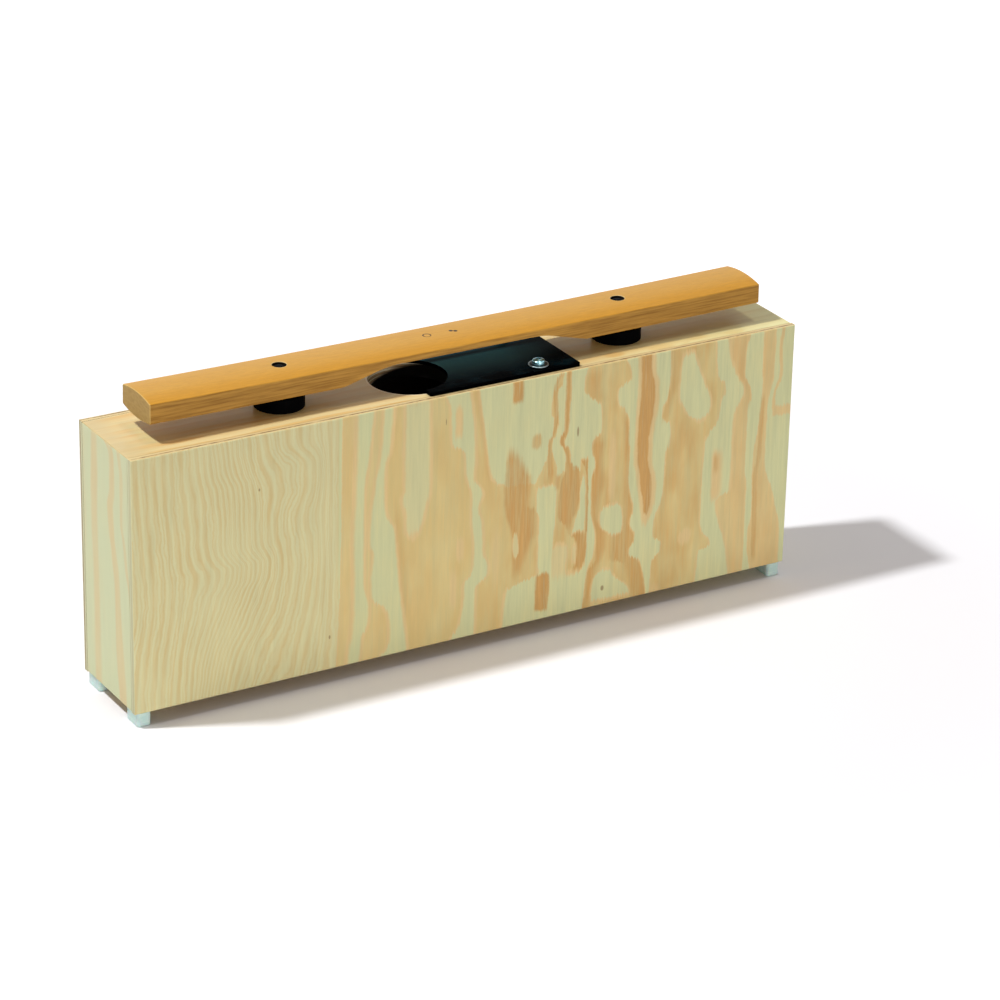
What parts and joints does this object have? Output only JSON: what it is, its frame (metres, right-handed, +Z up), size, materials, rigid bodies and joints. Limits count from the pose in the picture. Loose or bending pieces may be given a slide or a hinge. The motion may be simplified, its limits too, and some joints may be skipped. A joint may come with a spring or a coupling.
{
  "type": "bass bar",
  "caption": "Tuned bass chime bar: barrel-section tone bar with a tuning arch on buffers over a wooden resonator box with a sliding tuning plate.",
  "frame": {"origin": "centre of the footprint, on the floor under the feet", "axes": "+X along the tone bar, +Y from the front panel to the back panel, +Z up"},
  "size_m": [0.5, 0.0764, 0.2166],
  "materials": {
    "frame_wood": "satin clear varnish on softwood plywood",
    "end_wood": "satin clear varnish on softwood plywood",
    "panel_wood": "satin clear varnish on rotary-cut softwood plywood",
    "bar_composite": "satin golden glass-fibre composite with a fine lengthwise grain",
    "buffer_rubber": "matt black",
    "cap_rubber": "satin black",
    "pin_steel": "plain drawn steel",
    "slide_plastic": "satin black",
    "screw_zinc": "bright blue zinc plate",
    "washer_zinc": "zinc plate",
    "foot_rubber": "clear pale blue elastomer"
  },
  "bodies": {
    "resonator": {"top_board": "frame_wood", "bottom_board": "frame_wood", "left_end_board": "end_wood", "right_end_board": "end_wood", "front_panel": "panel_wood", "back_panel": "panel_wood", "foot_front_left": "foot_rubber", "foot_front_right": "foot_rubber", "foot_back_left": "foot_rubber", "foot_back_right": "foot_rubber", "pin_left": "pin_steel", "pin_right": "pin_steel", "pin_cap_left": "cap_rubber", "pin_cap_right": "cap_rubber", "buffer_left": "buffer_rubber", "buffer_right": "buffer_rubber", "washer_front": "washer_zinc", "washer_back": "washer_zinc"},
    "tone_bar": {"tone_bar": "bar_composite"},
    "tuning_slide": {"tuning_slide": "slide_plastic"},
    "front_screw": {"tuning_screw_front": "screw_zinc"},
    "back_screw": {"tuning_screw_back": "screw_zinc"}
  },
  "joints": [
    {"name": "bar_lift", "type": "slide", "parent": "resonator", "child": "tone_bar", "axis": [0, 0, 1], "range_m": [0, 0.03]},
    {"name": "slide_travel", "type": "slide", "parent": "resonator", "child": "tuning_slide", "axis": [1, 0, 0], "range_m": [-0.004, 0.004]},
    {"name": "front_screw_turn", "type": "hinge", "parent": "resonator", "child": "front_screw", "pos_m": [0.0538, -0.025, 0.1917], "axis": [0, 0, 1], "range_deg": [0, 360]},
    {"name": "back_screw_turn", "type": "hinge", "parent": "resonator", "child": "back_screw", "pos_m": [0.0538, 0.025, 0.1917], "axis": [0, 0, 1], "range_deg": [0, 360]}
  ]
}
